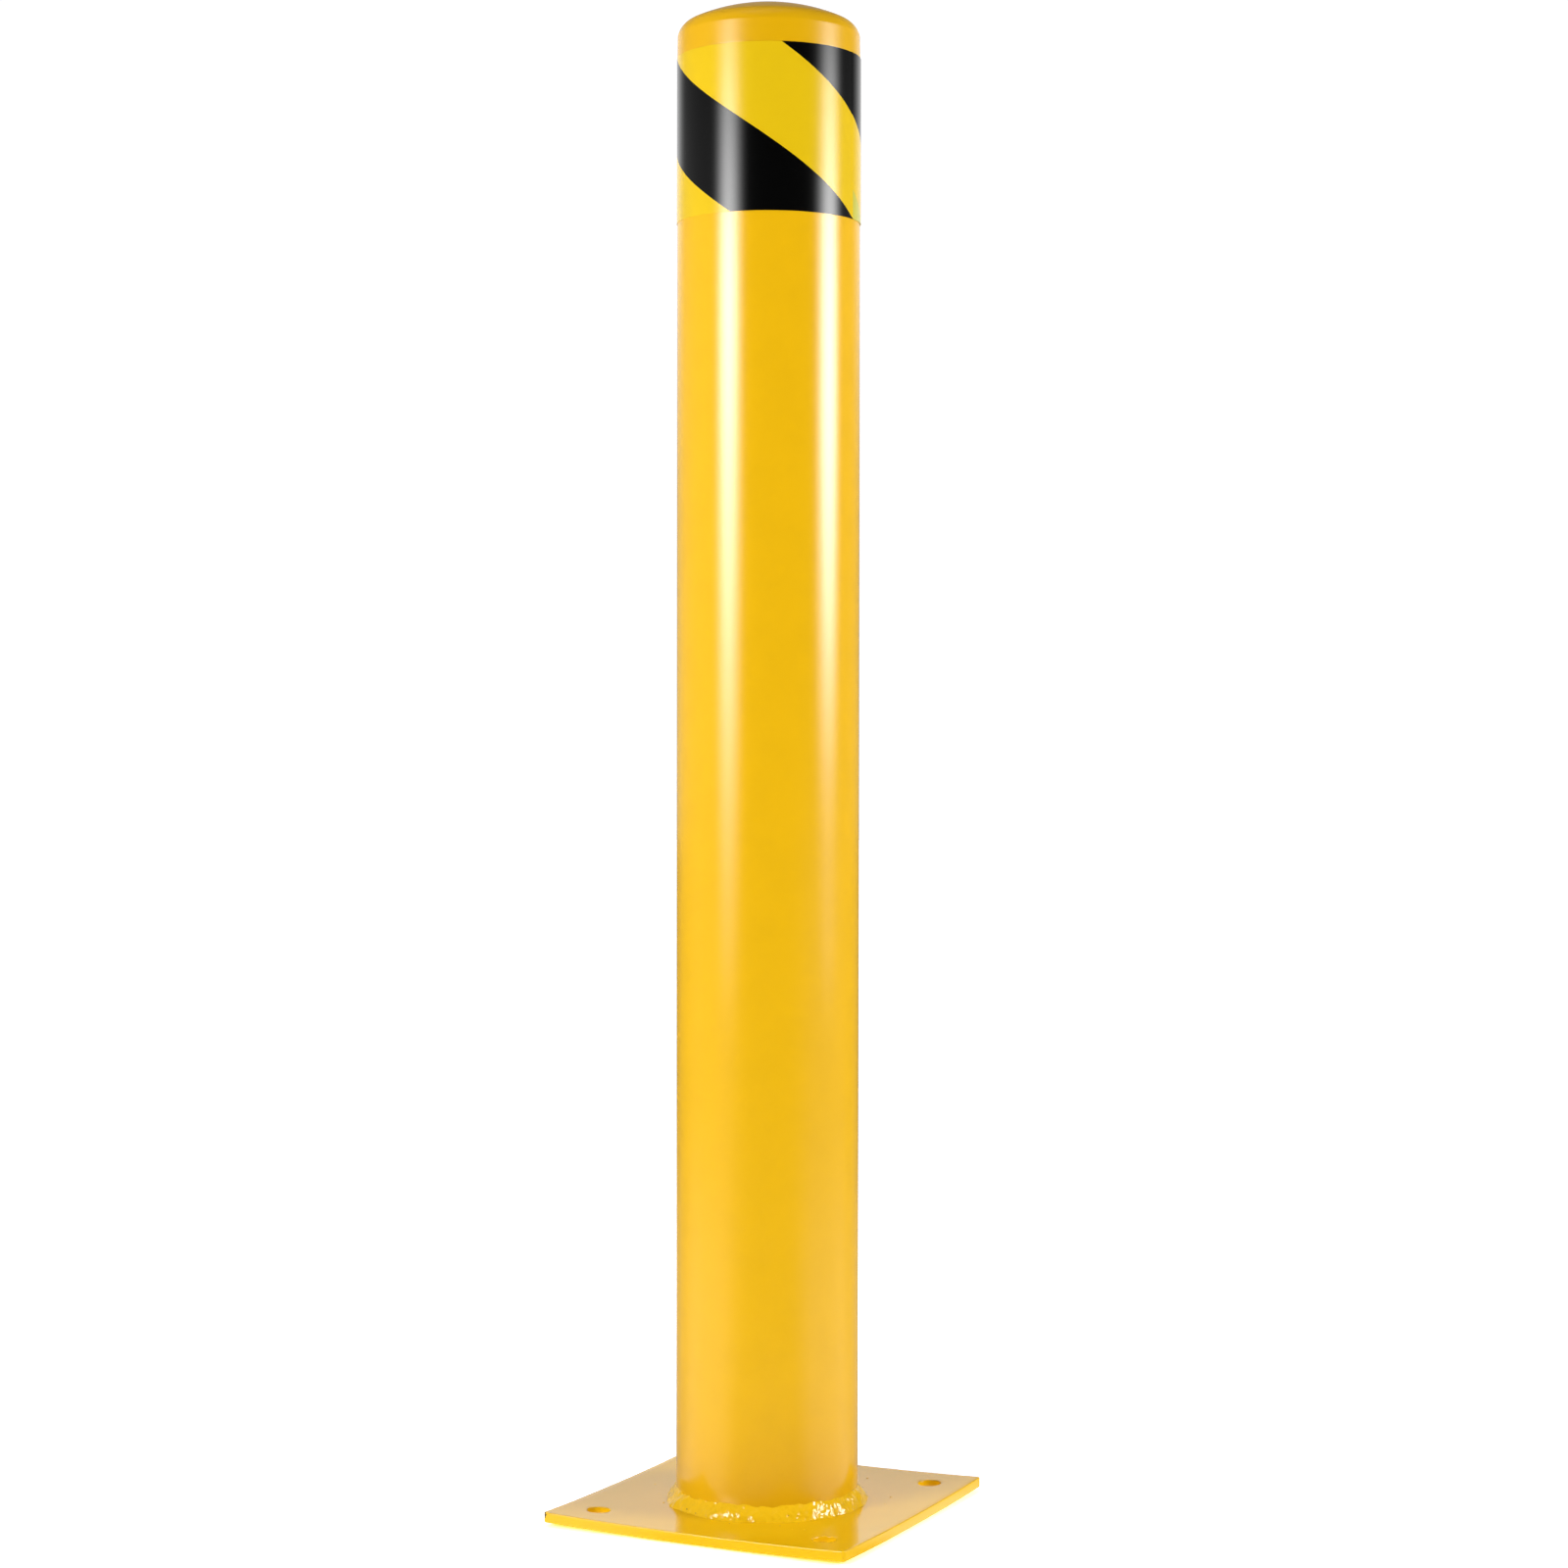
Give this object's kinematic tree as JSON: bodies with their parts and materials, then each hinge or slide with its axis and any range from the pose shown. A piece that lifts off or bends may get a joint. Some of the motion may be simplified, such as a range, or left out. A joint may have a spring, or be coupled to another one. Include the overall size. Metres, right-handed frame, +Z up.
{
  "type": "steel safety bollard",
  "caption": "Round capped steel post on a square bolt-down base plate, with a band of striped hazard film at its head, to guard against vehicle knocks.",
  "frame": {"origin": "centre of the base plate's underside, on the ground", "axes": "+Z up along the post; X and Y along the sides of the square base plate"},
  "size_m": [0.205, 0.205, 0.9412],
  "materials": {
    "post_coat": "gloss powder coat",
    "hazard_film": "gloss film, yellow with black stripes",
    "cap_plastic": "gloss moulded plastic"
  },
  "bodies": {
    "post": {"base_plate": "post_coat", "post_tube": "post_coat", "base_weld": "post_coat", "hazard_tape": "hazard_film"},
    "cap": {"top_cap": "cap_plastic"}
  },
  "joints": [
    {"name": "cap_lift", "type": "slide", "parent": "post", "child": "cap", "axis": [0, 0, 1], "range_m": [0, 0.16]}
  ]
}
